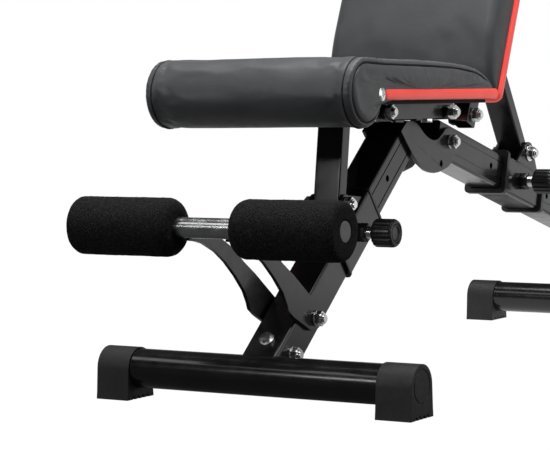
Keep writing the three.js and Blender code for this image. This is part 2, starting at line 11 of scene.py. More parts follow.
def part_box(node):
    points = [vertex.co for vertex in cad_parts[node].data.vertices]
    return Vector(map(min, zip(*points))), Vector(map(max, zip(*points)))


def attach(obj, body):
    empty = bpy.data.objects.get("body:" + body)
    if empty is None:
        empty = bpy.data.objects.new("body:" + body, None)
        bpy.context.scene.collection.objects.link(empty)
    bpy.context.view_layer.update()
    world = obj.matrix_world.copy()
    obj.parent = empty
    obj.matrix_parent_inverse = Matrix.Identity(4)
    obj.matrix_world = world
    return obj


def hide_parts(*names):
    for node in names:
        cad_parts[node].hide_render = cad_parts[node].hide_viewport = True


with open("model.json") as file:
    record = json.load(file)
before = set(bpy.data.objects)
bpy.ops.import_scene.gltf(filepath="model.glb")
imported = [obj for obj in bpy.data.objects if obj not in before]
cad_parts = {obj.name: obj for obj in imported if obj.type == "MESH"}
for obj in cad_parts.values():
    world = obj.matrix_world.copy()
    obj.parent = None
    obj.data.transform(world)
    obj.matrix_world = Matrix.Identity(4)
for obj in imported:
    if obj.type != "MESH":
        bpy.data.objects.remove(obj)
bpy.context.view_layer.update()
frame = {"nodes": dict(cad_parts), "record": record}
nodes = frame["nodes"]
slot_of = {s["node"]: s["material_slot"] for s in frame["record"]["subparts"]}

# ---------------------------------------------------------------- materials


def new_material(name):
    """An empty node material with its Principled shader and object coordinates."""
    mat = bpy.data.materials.new(name)
    mat.use_nodes = True
    tree = mat.node_tree
    shader = tree.nodes["Principled BSDF"]
    coords = tree.nodes.new("ShaderNodeTexCoord").outputs["Object"]
    return mat, tree, shader, coords


def noise_node(tree, coords, scale, detail=3.0, rough=0.55):
    node = tree.nodes.new("ShaderNodeTexNoise")
    node.inputs["Scale"].default_value = scale
    node.inputs["Detail"].default_value = detail
    node.inputs["Roughness"].default_value = rough
    tree.links.new(coords, node.inputs["Vector"])
    return node.outputs["Fac"]


def cell_node(tree, coords, scale, feature="F1"):
    node = tree.nodes.new("ShaderNodeTexVoronoi")
    node.feature = feature
    node.inputs["Scale"].default_value = scale
    tree.links.new(coords, node.inputs["Vector"])
    return node.outputs["Distance"]


def ramp(tree, fac, low, high, start=0.3, end=0.7):
    """Colour (or grey) that runs from low to high as fac goes from start to end."""
    node = tree.nodes.new("ShaderNodeValToRGB")
    node.color_ramp.elements[0].position = start
    node.color_ramp.elements[1].position = end
    for element, value in zip(node.color_ramp.elements, (low, high)):
        rgb = value if isinstance(value, tuple) else (value, value, value)
        element.color = (*rgb, 1.0)
    tree.links.new(fac, node.inputs["Fac"])
    return node.outputs["Color"]


def bump(tree, shader, height, strength, distance, before=None):
    node = tree.nodes.new("ShaderNodeBump")
    node.inputs["Strength"].default_value = strength
    node.inputs["Distance"].default_value = distance
    tree.links.new(height, node.inputs["Height"])
    if before is not None:
        tree.links.new(before, node.inputs["Normal"])
    tree.links.new(node.outputs["Normal"], shader.inputs["Normal"])
    return node.outputs["Normal"]


def set_inputs(shader, **values):
    for key, value in values.items():
        shader.inputs[key.replace("_", " ")].default_value = value


def gloss_black():
    mat, tree, shader, co = new_material("gloss_black")
    broad = noise_node(tree, co, 9.0)
    tree.links.new(ramp(tree, broad, (0.005, 0.005, 0.006), (0.010, 0.010, 0.011)),
                   shader.inputs["Base Color"])
    tree.links.new(ramp(tree, noise_node(tree, co, 60.0), 0.15, 0.25), shader.inputs["Roughness"])
    bump(tree, shader, noise_node(tree, co, 420.0, 2.0), 0.05, 0.0003)
    set_inputs(shader, IOR=1.5, Coat_Weight=0.15, Coat_Roughness=0.08)
    return mat


def metal(name, low, high, rough_low, rough_high, grain):
    mat, tree, shader, co = new_material(name)
    tree.links.new(ramp(tree, noise_node(tree, co, 45.0), low, high), shader.inputs["Base Color"])
    tree.links.new(ramp(tree, noise_node(tree, co, grain), rough_low, rough_high), shader.inputs["Roughness"])
    bump(tree, shader, noise_node(tree, co, grain * 2.0, 2.0), 0.06, 0.0002)
    set_inputs(shader, Metallic=1.0)
    return mat


def rubber():
    mat, tree, shader, co = new_material("rubber")
    tree.links.new(ramp(tree, noise_node(tree, co, 30.0), (0.007, 0.007, 0.008), (0.014, 0.014, 0.015)),
                   shader.inputs["Base Color"])
    tree.links.new(ramp(tree, noise_node(tree, co, 160.0), 0.48, 0.66), shader.inputs["Roughness"])
    bump(tree, shader, noise_node(tree, co, 1500.0, 2.0), 0.25, 0.0003)
    return mat


def plastic(name, low, high, rough, grain=900.0):
    mat, tree, shader, co = new_material(name)
    tree.links.new(ramp(tree, noise_node(tree, co, 40.0), low, high), shader.inputs["Base Color"])
    tree.links.new(ramp(tree, noise_node(tree, co, 120.0), rough - 0.06, rough + 0.08),
                   shader.inputs["Roughness"])
    bump(tree, shader, noise_node(tree, co, grain, 2.0), 0.12, 0.0002)
    return mat


def foam():
    mat, tree, shader, co = new_material("foam")
    speck = noise_node(tree, co, 620.0, 4.0, 0.7)
    tree.links.new(ramp(tree, speck, (0.002, 0.002, 0.002), (0.030, 0.030, 0.031), 0.42, 0.70),
                   shader.inputs["Base Color"])
    tree.links.new(ramp(tree, noise_node(tree, co, 200.0), 0.85, 1.0), shader.inputs["Roughness"])
    first = bump(tree, shader, speck, 0.9, 0.0012)
    bump(tree, shader, cell_node(tree, co, 700.0), 0.4, 0.0006, first)
    set_inputs(shader, Specular_IOR_Level=0.12)
    return mat


def leatherette():
    mat, tree, shader, co = new_material("leatherette")
    tone = noise_node(tree, co, 14.0, 5.0)
    tree.links.new(ramp(tree, tone, (0.040, 0.042, 0.045), (0.052, 0.054, 0.058)),
                   shader.inputs["Base Color"])
    tree.links.new(ramp(tree, noise_node(tree, co, 70.0, 4.0), 0.42, 0.56), shader.inputs["Roughness"])
    grain = cell_node(tree, co, 620.0, "SMOOTH_F1")
    first = bump(tree, shader, grain, 0.22, 0.0005)
    second = bump(tree, shader, noise_node(tree, co, 1500.0, 3.0), 0.12, 0.0003, first)
    bump(tree, shader, noise_node(tree, co, 38.0, 3.0), 0.18, 0.0016, second)
    set_inputs(shader, Specular_IOR_Level=0.5, Sheen_Weight=0.12, Sheen_Roughness=0.5)
    return mat


def board():
    mat, tree, shader, co = new_material("board")
    fibre = noise_node(tree, co, 500.0, 4.0)
    tree.links.new(ramp(tree, fibre, (0.006, 0.006, 0.006), (0.017, 0.017, 0.017)),
                   shader.inputs["Base Color"])
    bump(tree, shader, fibre, 0.5, 0.0005)
    set_inputs(shader, Roughness=0.85)
    return mat


def red_trim():
    mat, tree, shader, co = new_material("red_trim")
    tree.links.new(ramp(tree, noise_node(tree, co, 25.0), (0.86, 0.045, 0.030), (0.95, 0.065, 0.045)),
                   shader.inputs["Base Color"])
    tree.links.new(ramp(tree, noise_node(tree, co, 90.0), 0.28, 0.40), shader.inputs["Roughness"])
    bump(tree, shader, noise_node(tree, co, 300.0), 0.08, 0.0003)
    # The emission makes the red trim glow a little: painted light, not a lamp.
    set_inputs(shader, Emission_Color=(1.0, 0.10, 0.08, 1), Emission_Strength=0.3)
    return mat


def seam():
    mat, tree, shader, co = new_material("seam")
    tree.links.new(ramp(tree, noise_node(tree, co, 300.0), (0.002, 0.002, 0.002), (0.008, 0.008, 0.008)),
                   shader.inputs["Base Color"])
    bump(tree, shader, noise_node(tree, co, 900.0), 0.4, 0.0004)
    set_inputs(shader, Roughness=0.8)
    return mat


MATERIALS = {
    "gloss_black": gloss_black(),
    "dark_chrome": metal("dark_chrome", (0.40, 0.405, 0.41), (0.50, 0.505, 0.51), 0.18, 0.30, 90.0),
    "zinc": metal("zinc", (0.80, 0.80, 0.79), (0.93, 0.93, 0.92), 0.14, 0.28, 220.0),
    "rubber": rubber(),
    "black_plastic": plastic("black_plastic", (0.010, 0.010, 0.011), (0.018, 0.018, 0.019), 0.34),
    "grey_plastic": plastic("grey_plastic", (0.105, 0.105, 0.108), (0.135, 0.135, 0.138), 0.5),
    "foam": foam(),
    "leatherette": leatherette(),
    "board": board(),
    "red_trim": red_trim(),
    "seam": seam(),
}


def finish_cad_node(obj, width=0.0006):
    """Material, softened edges and smooth shading for a CAD node that stays."""
    obj.data.materials.clear()
    obj.data.materials.append(MATERIALS[slot_of[obj.name]])
    obj.data.polygons.foreach_set("use_smooth", [True] * len(obj.data.polygons))
    weld = obj.modifiers.new("weld", "WELD")
    weld.merge_threshold = 0.00002
    bevel = obj.modifiers.new("bevel", "BEVEL")
    bevel.width = width
    bevel.segments = 2
    bevel.limit_method = "ANGLE"
    bevel.angle_limit = math.radians(38)
    bevel.use_clamp_overlap = True
    normals = obj.modifiers.new("normals", "WEIGHTED_NORMAL")
    normals.weight = 90
    normals.keep_sharp = True


for node in nodes.values():
    finish_cad_node(node)

# ---------------------------------------------------------------- mesh helpers


def add_object(name, bm, body, slot, smooth=True):
    mesh = bpy.data.meshes.new(name)
    bmesh.ops.recalc_face_normals(bm, faces=bm.faces)
    bm.to_mesh(mesh)
    bm.free()
    obj = bpy.data.objects.new(name, mesh)
    bpy.context.scene.collection.objects.link(obj)
    obj.data.materials.append(MATERIALS[slot])
    mesh.polygons.foreach_set("use_smooth", [smooth] * len(mesh.polygons))
    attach(obj, body)
    return obj


def loft(rings):
    """Closed rings of equal length joined into a skin, with a flat face on each end."""
    bm = bmesh.new()
    rows = [[bm.verts.new(p) for p in ring] for ring in rings]
    join_rows(bm, zip(rows, rows[1:]))
    bm.faces.new(rows[0][::-1])
    bm.faces.new(rows[-1])
    return bm


def resample(points, count):
    """Closed polyline resampled to evenly spaced points."""
    closed = points + [points[0]]
    lengths = [0.0]
    for a, b in zip(closed, closed[1:]):
        lengths.append(lengths[-1] + math.dist(a, b))
    out, k = [], 0
    for i in range(count):
        want = lengths[-1] * i / count
        while lengths[k + 1] < want:
            k += 1
        t = (want - lengths[k]) / max(1e-9, lengths[k + 1] - lengths[k])
        out.append((closed[k][0] + t * (closed[k + 1][0] - closed[k][0]),
                    closed[k][1] + t * (closed[k + 1][1] - closed[k][1])))
    return out


def nearest_on(spine, p):
    """Nearest point to p on the straight line between the spine's two ends."""
    a, b = Vector(spine[0]), Vector(spine[1])
    t = max(0.0, min(1.0, (Vector(p) - a).dot(b - a) / (b - a).length_squared))
    return a + (b - a) * t


def join_rows(bm, pairs):
    """Faces between pairs of closed rows of points."""
    for a, b in pairs:
        for k in range(len(a)):
            m = (k + 1) % len(a)
            bm.faces.new((a[k], a[m], b[m], b[k]))


def centre_xz(node):
    low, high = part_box(node)
    return ((low.x + high.x) / 2, (low.z + high.z) / 2)


def ease(t):
    """Smooth step from 0 to 1."""
    t = max(0.0, min(1.0, t))
    return t * t * (3 - 2 * t)


# ---------------------------------------------------------------- sizes

FRONT_BAR_X = (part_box("front_foot_bar")[0].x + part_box("front_foot_bar")[1].x) / 2
BODY_OF = {n: body for body, held in frame["record"]["behaviour"]["bodies"].items() for n in held}

# Seat cushion, in millimetres from the front foot bar's centre line and the floor.
ROLL_AT = (14.4, 385.8)
ROLL_RADIUS = 42.4
SEAT_BASE = 376.3
SEAT_BACK = 376.0
SEAT_HALF = 146.0
SEAT_RING_POINTS = 230
BASE_START = 56
EDGE_RADIUS = 5
SEAM_INSET = 6.5

# Backrest cushion, in millimetres: D runs up the pad from its hinge, N out of its front face.
BACK_ANGLE = math.radians(66.3)
BACK_AXIS = (460.0, 354.0)
BACK_D = (4.0, 712.0)
BACK_N = (39.3, 89.0)
BACK_HALF = 130.0
TRIM_WIDTH = 13.5

# How far a trim stands out, in metres.
TRIM_RISE = 0.0042

# ---------------------------------------------------------------- soft parts


def row_point(x, y, z):
    """A point in millimetres from the front bar, in metres in the row frame."""
    return Vector((x / 1000 + FRONT_BAR_X, y / 1000, z / 1000))


def seat_outline():
    """Side view of the seat cushion: a roll at the front, a flat run and a tapering back edge."""
    points = [(SEAT_BACK - 1, SEAT_BASE)]
    start = math.asin((SEAT_BASE - ROLL_AT[1]) / ROLL_RADIUS)
    for i in range(61):
        a = start - (start + math.pi * 1.5) * i / 60
        points.append((ROLL_AT[0] + ROLL_RADIUS * math.cos(a), ROLL_AT[1] + ROLL_RADIUS * math.sin(a)))
    points += [(60, 426.8), (110, 426.2), (160, 425.6), (200, 425.0), (235, 424), (270, 422.4)]
    points += [(300, 419.6), (322, 416), (340, 411), (353, 405.4), (363, 399.2), (370, 392.6)]
    points += [(374.6, 386), (SEAT_BACK, 379)]
    return points


def seat_ring():
    """Even points round the seat's side view, each with the nearest point of its middle line."""
    ring = resample(seat_outline(), SEAT_RING_POINTS)
    spine = ((ROLL_AT[0], ROLL_AT[1] + 3), (SEAT_BACK - 40, 396))
    return [(p, nearest_on(spine, p)) for p in ring]


def seat_stations():
    """(inset, y, part) from the middle of the seat over its edge and seam to the side panel."""
    half = SEAT_HALF
    flat = [0, 12, 24, 36, 48, 60, 72, 84, 94, 103, 110, 116, 121, 125, 129, 133, 137]
    profile = [(0.0, y, "skin") for y in flat]
    for i in range(9):
        a = math.pi / 2 * i / 8
        profile.append((EDGE_RADIUS * (1 - math.cos(a)),
                        half - EDGE_RADIUS + EDGE_RADIUS * math.sin(a), "skin"))
    profile += [(5.5, half - 0.5, "seam"), (6.1, half - 2.4, "seam"), (6.9, half - 2.3, "seam")]
    profile += [(7.6, half - 0.6, "panel"), (9.0, half + 0.9, "panel"), (11.5, half + 1.8, "panel")]
    profile += [(15, half + 2.4, "panel"), (21, half + 2.8, "panel"), (28, half + 3.0, "panel")]
    return profile


def seat_rings():
    """Main skin over the roll and seat, curling onto each side, with a seam and a puffed side panel."""
    ring = seat_ring()
    rings = []
    for side in (-1, 1):
        rows = []
        for inset, y, part in seat_stations():
            row = []
            for (x, z), c in ring:
                reach = math.dist((x, z), c)
                t = min(inset, reach * 0.93) / reach
                px, pz = x + (c[0] - x) * t, z + (c[1] - z) * t
                if z < SEAT_BASE + 1.2 and x > 50:
                    pz = SEAT_BASE + 0.02 * inset
                row.append(seat_point(px, y * side, pz, part, x, z))
            rows.append(row)
        rings = rows[::-1] if side == -1 else rings + rows[1:]
    return rings


def seat_point(x, y, z, part, x0, z0):
    """Light creases, and gathers where the skin turns the end of the roll. x0, z0 lie on the outline."""
    angle = math.atan2(z0 - ROLL_AT[1], x0 - ROLL_AT[0])
    on_roll = 0.0 if x0 > 70 else 1.0
    rise = 0.0
    if part == "skin" and z0 > SEAT_BASE + 1.5:
        rise += 0.2 - 0.8 * ease((x0 - 20) / 60)
        near = ease((abs(y) - (SEAT_HALF - 15)) / 12)
        phase = angle * 34 + 3.0 * noise.noise(Vector((angle * 5, y * 0.01, 1.7)))
        gather = 0.55 + 0.6 * noise.noise(Vector((angle * 9, 4.1, 0.3)))
        rise += on_roll * near * 0.75 * math.sin(phase) * gather
        rise += 0.7 * noise.noise(Vector((x * 0.016, y * 0.012, 2.0)))
        rise += 0.25 * noise.noise(Vector((x * 0.05, y * 0.04, 7.0)))
    if part == "panel":
        y += math.copysign(0.5 * noise.noise(Vector((x * 0.03, 3.0, z * 0.04))), y)
    n = Vector((0, 1))
    if x0 < ROLL_AT[0] + 5 or z0 < SEAT_BASE:
        n = Vector((x0 - ROLL_AT[0], z0 - ROLL_AT[1])).normalized()
    return row_point(x + n[0] * rise, y, z + n[1] * rise)


def stuffed(obj, pinned, pressure, limit):
    """Fills a cushion by cloth simulation and keeps each point within limit of where it was cut."""
    mesh = obj.data
    start = [v.co.copy() for v in mesh.vertices]
    group = obj.vertex_groups.new(name="held")
    for v in mesh.vertices:
        weight = pinned(v.co)
        if weight > 0:
            group.add([v.index], weight, "REPLACE")
    cloth = obj.modifiers.new("cloth", "CLOTH")
    cloth.settings.quality = 6
    cloth.settings.mass = 0.25
    cloth.settings.tension_stiffness = 25
    cloth.settings.compression_stiffness = 12
    cloth.settings.bending_stiffness = 0.6
    cloth.settings.shrink_min = -0.006
    cloth.settings.use_pressure = True
    cloth.settings.uniform_pressure_force = pressure
    cloth.settings.effector_weights.gravity = 0
    cloth.settings.vertex_group_mass = "held"
    cloth.point_cache.frame_start = 1
    cloth.point_cache.frame_end = 20
    scene = bpy.context.scene
    for frame_number in range(1, 21):
        scene.frame_set(frame_number)
    graph = bpy.context.evaluated_depsgraph_get()
    moved = [v.co.copy() for v in obj.evaluated_get(graph).data.vertices]
    obj.modifiers.remove(cloth)
    scene.frame_set(1)
    for v, a, b in zip(mesh.vertices, start, moved):
        step = b - a
        if step.length > limit:
            step = step.normalized() * limit
        v.co = a + step
    obj.vertex_groups.remove(group)
    finer = obj.modifiers.new("finer", "SUBSURF")
    finer.levels = finer.render_levels = 1


def seam_cord(name, points, radius):
    """Thin round cord along a path of points on the seat."""
    rings = []
    for i, p in enumerate(points):
        a, b = points[max(0, i - 1)], points[min(len(points) - 1, i + 1)]
        along_it = (b - a).normalized()
        side = along_it.cross(Vector((0, 1, 0.001))).normalized()
        other = along_it.cross(side)
        rings.append([p + side * radius * math.cos(t) + other * radius * math.sin(t)
                      for t in (math.tau * k / 8 for k in range(8))])
    cord = add_object(name, loft(rings), "seat", "seam")


def make_seat():
    """Seat cushion, stuffed, with a seam round each side panel and a stitch line at each end of the roll."""
    obj = add_object("seat_cushion", loft(seat_rings()), "seat", "leatherette")
    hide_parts("seat_pad")

    def held(co):
        x, y, z = (co.x - FRONT_BAR_X) * 1000, abs(co.y) * 1000, co.z * 1000
        if z < SEAT_BASE + 1.5 and x > BASE_START:
            return 1.0
        if y > SEAT_HALF - 12 and x < 60:
            return 0.85
        return 0.9 if y > SEAT_HALF - 4 else 0.0

    stuffed(obj, held, pressure=2.0, limit=0.0012)
    for side, word in ((-1, "right"), (1, "left")):
        seam_cord("seat_seam_" + word, seam_path(side), 0.0012)
        seam_cord("seat_stitch_" + word, stitch_path(side), 0.0009)


def seam_path(side):
    """Round the side panel, inside its edge, from the trim over the top and the roll."""
    path = []
    for (x, z), c in seat_ring():
        if z < SEAT_BASE + 1.5 and x > BASE_START:
            continue
        t = SEAM_INSET / math.dist((x, z), c)
        px, pz = x + (c[0] - x) * t, z + (c[1] - z) * t
        if pz < SEAT_BASE + 14.5 and px > 58:
            continue
        path.append(row_point(px, side * (SEAT_HALF - 1.2), pz))
    return path


def stitch_path(side):
    """Over the roll, 10 mm in from its end and just proud of the skin."""
    path = []
    for (x, z), _ in seat_ring():
        low = z < SEAT_BASE + 2 and x > 50
        if x < 62 and z > ROLL_AT[1] - ROLL_RADIUS + 0.1 and not low:
            n = Vector((x - ROLL_AT[0], z - ROLL_AT[1])).normalized() * 0.35
            path.append(row_point(x + n[0], side * (SEAT_HALF - 10), z + n[1]))
    return path


def back_point(d, y, n):
    c, s = math.cos(BACK_ANGLE), math.sin(BACK_ANGLE)
    return row_point(BACK_AXIS[0] + d * c - n * s, y, BACK_AXIS[1] + d * s + n * c)


def back_section():
    """(y, n) round the backrest: flat back, sides with a seam, rounded edges and a crowned front."""
    n0, n1 = BACK_N
    half = BACK_HALF
    r = 17.0
    back = [(-half + 3 + (2 * half - 6) * i / 14, n0) for i in range(15)]
    sides = [(half - 0.6, n0 + 1.0), (half + 0.3, n0 + 5), (half + 0.6, n0 + 10), (half + 0.6, n0 + 15)]
    sides += [(half - 0.4, n0 + 17.0), (half + 0.5, n0 + 19.0)]
    sides += [(half + 0.7, n0 + 24), (half + 0.4, n1 - r)]
    arc = [(half - r + r * math.cos(a), n1 - r + r * math.sin(a)) for a in
           (math.pi / 2 * k / 8 for k in range(1, 9))]
    front = [(y, n1 + 3.2 * (1 - (y / (half - r)) ** 2)) for y in
             (half - r - (2 * half - 2 * r) * k / 26 for k in range(1, 26))]
    right = sides + arc
    return back + right + front + [(-y, n) for y, n in reversed(right)]


def make_back():
    """Backrest cushion with a long curve at its lower end and a short one at its top."""
    n0, n1 = BACK_N
    d0, d1 = BACK_D
    section = back_section()
    stations = [d0 + (d1 - d0) * (0.5 - 0.5 * math.cos(math.pi * k / 84)) for k in range(85)]
    rings = []
    for d in stations:
        low_end = d - d0 < d1 - d
        reach, turn, drop = (d - d0, 92, 45) if low_end else (d1 - d, 28, 26)
        lift = 0.0 if reach >= turn else 1 - math.sqrt(max(0.0, 1 - (1 - reach / turn) ** 2))
        ring = []
        for y, n in section:
            high = (n - n0) / (n1 - n0)
            wave = 0.55 * noise.noise(Vector((d * 0.012, y * 0.013, 9.0))) * ease(high)
            ring.append(back_point(d, y * (1 - 0.02 * lift), n - lift * high * drop + wave))
        rings.append(ring)
    obj = add_object("back_cushion", loft(rings), "backrest", "leatherette")
    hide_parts("back_pad")

    def held(co):
        x, z = (co.x - FRONT_BAR_X) * 1000 - BACK_AXIS[0], co.z * 1000 - BACK_AXIS[1]
        n = -x * math.sin(BACK_ANGLE) + z * math.cos(BACK_ANGLE)
        return 1.0 if n < n0 + 18 else 0.0

    stuffed(obj, held, pressure=2.0, limit=0.0014)


def foam_roller(name, node):
    """Foam sleeve with a flat outer end, a small outer edge and a rounder inner one."""
    low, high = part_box(node)
    at = centre_xz(node)
    radius = (high.x - low.x) / 2
    bore = 0.0129
    edge = 0.0075
    out = 1 if low.y > 0 else -1
    inner, outer = (low.y, high.y) if out > 0 else (high.y, low.y)
    profile = [(bore, outer - out * 0.0006)]
    profile += [(bore + (radius - edge - bore) * k / 5, outer) for k in range(1, 6)]
    profile += [(radius - edge + edge * math.sin(a), outer - out * (edge - edge * math.cos(a))) for a in
                (math.pi / 2 * k / 8 for k in range(1, 9))]
    steps, turn = 44, 0.014
    start, end = outer - out * edge, inner + out * turn
    profile += [(radius, start + (end - start) * k / steps) for k in range(1, steps + 1)]
    profile += [(radius - turn + turn * math.cos(a), end - out * turn * math.sin(a)) for a in
                (math.pi / 2 * k / 10 for k in range(1, 11))]
    profile += [(bore, inner)]
    bm = bmesh.new()
    count = 96
    rows = []
    for r, y in profile:
        row = []
        for k in range(count):
            t = math.tau * k / count
            d = Vector((math.cos(t), 0, math.sin(t)))
            rough = noise.noise(Vector((d.x * 9, y * 260, d.z * 9))) * 0.00035
            rough += noise.noise(Vector((d.x * 2, y * 40, d.z * 2))) * 0.0005
            reach = r + rough * ease((r - bore) / 0.01)
            row.append(bm.verts.new((at[0] + d.x * reach, y, at[1] + d.z * reach)))
        rows.append(row)
    join_rows(bm, zip(rows, rows[1:] + rows[:1]))
    obj = add_object(name, bm, BODY_OF[node], "foam")
    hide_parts(node)


# ---------------------------------------------------------------- hard details


def lathe(bm, axis_at, profile, count, shape=None):
    """Turns (radius, y) pairs round an axis along Y at (x, z); shape may vary the radius with angle."""
    rows = []
    for r, y in profile:
        row = []
        for k in range(count):
            t = math.tau * k / count
            reach = shape(r, y, t) if shape else r
            row.append(bm.verts.new((axis_at[0] + reach * math.cos(t), y, axis_at[1] + reach * math.sin(t))))
        rows.append(row)
    join_rows(bm, zip(rows, rows[1:]))
    bm.faces.new(rows[0][::-1])
    bm.faces.new(rows[-1])


def make_knob(word):
    """Fluted pull knob with a ringed face, a thin neck and the plunger behind it."""
    node = word + "_knob"
    face, inner = (corner.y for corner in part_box(node))
    wide = 0.0186
    flute_depth, flutes = 0.0017, 16
    # Each pair is a radius and a distance behind the face.
    ringed_face = [(0.0003, 0.0022), (0.0085, 0.0022), (0.0092, 0.0022), (0.0097, 0.0006)]
    ringed_face += [(0.0112, 0.0005), (0.0117, 0.0019), (0.0128, 0.0019), (0.0134, 0.0003)]
    edge = [(0.0150, 0.0002), (0.0168, 0.0008), (0.0179, 0.0024)]
    grip = [(wide, 0.0042), (wide, 0.010), (wide, 0.016), (wide, 0.022), (wide, 0.0275)]
    neck = [(0.0180, 0.0290), (0.0160, 0.0300), (0.0118, 0.0304), (0.0112, 0.0330), (0.0041, 0.0332)]
    profile = [(r, face + back) for r, back in ringed_face + edge + grip + neck] + [(0.0040, inner)]

    def fluted(r, y, t):
        if r < 0.0168 or y < face + 0.0022:
            return r
        return r - flute_depth * max(0.0, math.cos(t * flutes)) ** 1.6

    bm = bmesh.new()
    lathe(bm, centre_xz(node), profile, 192, fluted)
    obj = add_object(node + "_look", bm, node, "black_plastic")
    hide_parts(node)


def make_barrel(word):
    """Black hexagon nut on the sleeve and a bright threaded barrel standing out of it."""
    node = word + "_pin_barrel"
    at = centre_xz(node)
    low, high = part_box(node)
    body = BODY_OF[node]
    flat, corner = 0.011, 0.0125
    crest, root, bore = 0.0080, 0.0071, 0.0042
    pitch = 0.00105
    top = high.y - 0.0115

    def hexed(r, y, t):
        turn = (t + math.pi / 6) % (math.pi / 3) - math.pi / 6
        return min(flat / math.cos(turn), corner) * r

    profile = [(0.45, high.y), (0.93, high.y), (1.0, high.y - 0.0007)]
    profile += [(1.0, top + 0.0007), (0.93, top), (0.45, top)]
    bm = bmesh.new()
    lathe(bm, at, profile, 96, hexed)
    nut = add_object(node + "_nut", bm, body, "black_plastic")
    profile = [(bore, top + 0.0006)]
    y = top + 0.0004
    while y > low.y + 0.0009:
        profile += [(crest, y), (crest, y - 0.0004), (root, y - 0.0008)]
        y -= pitch
    profile += [(0.0076, low.y + 0.0003), (bore, low.y)]
    bm = bmesh.new()
    lathe(bm, at, profile, 40)
    thread = add_object(node + "_thread", bm, body, "zinc")
    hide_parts(node)
    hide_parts(node)


def make_trim_button(word, side):
    """Domed screw head with a cross recess in its face."""
    dome, recess = 0.0016, 0.0014
    arm_half_width, arm_reach = 0.0007, 0.0032
    node = "seat_trim_button_" + word
    at = centre_xz(node)
    low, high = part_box(node)
    outer = low.y if side < 0 else high.y
    root = high.y if side < 0 else low.y
    radius = (high.x - low.x) / 2
    bm = bmesh.new()
    count, rows = 72, []
    for i in range(29):
        r = radius * i / 28
        row = []
        for k in range(count):
            t = math.tau * (k + 0.5) / count
            u, v = r * math.cos(t), r * math.sin(t)
            depth = dome * (r / radius) ** 2.6
            arm = min(max(abs(u) - arm_half_width, abs(v) - arm_reach),
                      max(abs(v) - arm_half_width, abs(u) - arm_reach))
            depth += recess * ease((0.0003 - arm) / 0.0006)
            fresh = i > 0 or k == 0
            row.append(bm.verts.new((at[0] + u, outer - side * depth, at[1] + v)) if fresh else row[0])
        rows.append(row)
    for k in range(count):
        bm.faces.new((rows[0][0], rows[1][k], rows[1][(k + 1) % count]))
    back = [bm.verts.new((v.co.x, root, v.co.z)) for v in rows[-1]]
    join_rows(bm, list(zip(rows[1:], rows[2:])) + [(rows[-1], back)])
    bm.faces.new(back)
    obj = add_object(node + "_look", bm, "seat", "zinc")
    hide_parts(node)


def half_round(points, across, out, name, body, node):
    """Half-round strip along a path: across is its width, out the way it bulges at each point."""
    turns = [math.pi * k / 12 for k in range(1, 12)]
    section = [(0.0, 0.0)] + [(0.5 - 0.5 * math.cos(a), math.sin(a) ** 0.6) for a in turns] + [(1.0, 0.0)]
    rings = []
    for i, p in enumerate(points):
        end = min(i, len(points) - 1 - i)
        scale = (0.72, 0.93, 1.0)[min(end, 2)]
        rings.append([p + across * (0.5 + (a - 0.5) * scale) + out[i] * TRIM_RISE * (0.08 + 0.92 * b * scale)
                      for a, b in section])
    obj = add_object(name, loft(rings), body, "red_trim")
    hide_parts(node)


def make_seat_trims():
    """A straight strip along each side of the seat."""
    for side, word in ((-1, "right"), (1, "left")):
        node = "seat_trim_" + word
        low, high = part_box(node)
        y = high.y if side < 0 else low.y
        shares = (0, 0.003, 0.01, 0.1, 0.3, 0.5, 0.7, 0.9, 0.99, 0.997, 1)
        path = [Vector((low.x + (high.x - low.x) * t, y, low.z)) for t in shares]
        up = Vector((0, 0, high.z - low.z))
        half_round(path, up, [Vector((0, side, 0))] * len(path), node + "_look", "seat", node)


def make_back_trim():
    """One strip up both sides of the backrest and round its lower end."""
    d0, d1 = BACK_D[0] - 4, BACK_D[1] - 8
    path, out = [], []
    half = BACK_HALF
    for d in (d1, d1 - 1, d1 - 4, (d0 + d1) / 2, d0 + 20):
        path.append((d, half))
        out.append((0, 1))
    for k in range(1, 9):
        a = math.pi / 2 * k / 8
        path.append((d0 + 4 + 8 * (1 - math.sin(a)), half - 8 + 8 * math.cos(a)))
        out.append((-math.sin(a), math.cos(a)))
    mirrored = [(d, -y) for d, y in reversed(path)]
    outs = [(a, -b) for a, b in reversed(out)]
    path += [(d0 + 4, y) for y in (60, 0, -60)] + mirrored
    out += [(-1, 0)] * 3 + outs
    origin = back_point(0, 0, 0)
    points = [back_point(d, y, BACK_N[0]) for d, y in path]
    across = back_point(0, 0, TRIM_WIDTH) - origin
    ways = [(back_point(1, 0, 0) - origin) * 1000 * a + Vector((0, b, 0)) for a, b in out]
    half_round(points, across, ways, "back_trim_look", "backrest", "back_trim")


make_seat()
make_back()
foam_roller("foam_right", "foam_roller_right")
foam_roller("foam_left", "foam_roller_left")
for word in ("seat", "back"):
    make_knob(word)
    make_barrel(word)
make_trim_button("right", -1)
make_trim_button("left", 1)
make_seat_trims()
make_back_trim()

# ---------------------------------------------------------------- camera, floor, light

VIEW_ANGLE = math.radians(59.1)
PITCH = math.radians(3.41)
ROLL = math.radians(0.593)
CAMERA_AT = Vector((FRONT_BAR_X - 2.2489, -1.3711, 0.381))
LENS = 140.7
SHIFT_UP = 0.0011


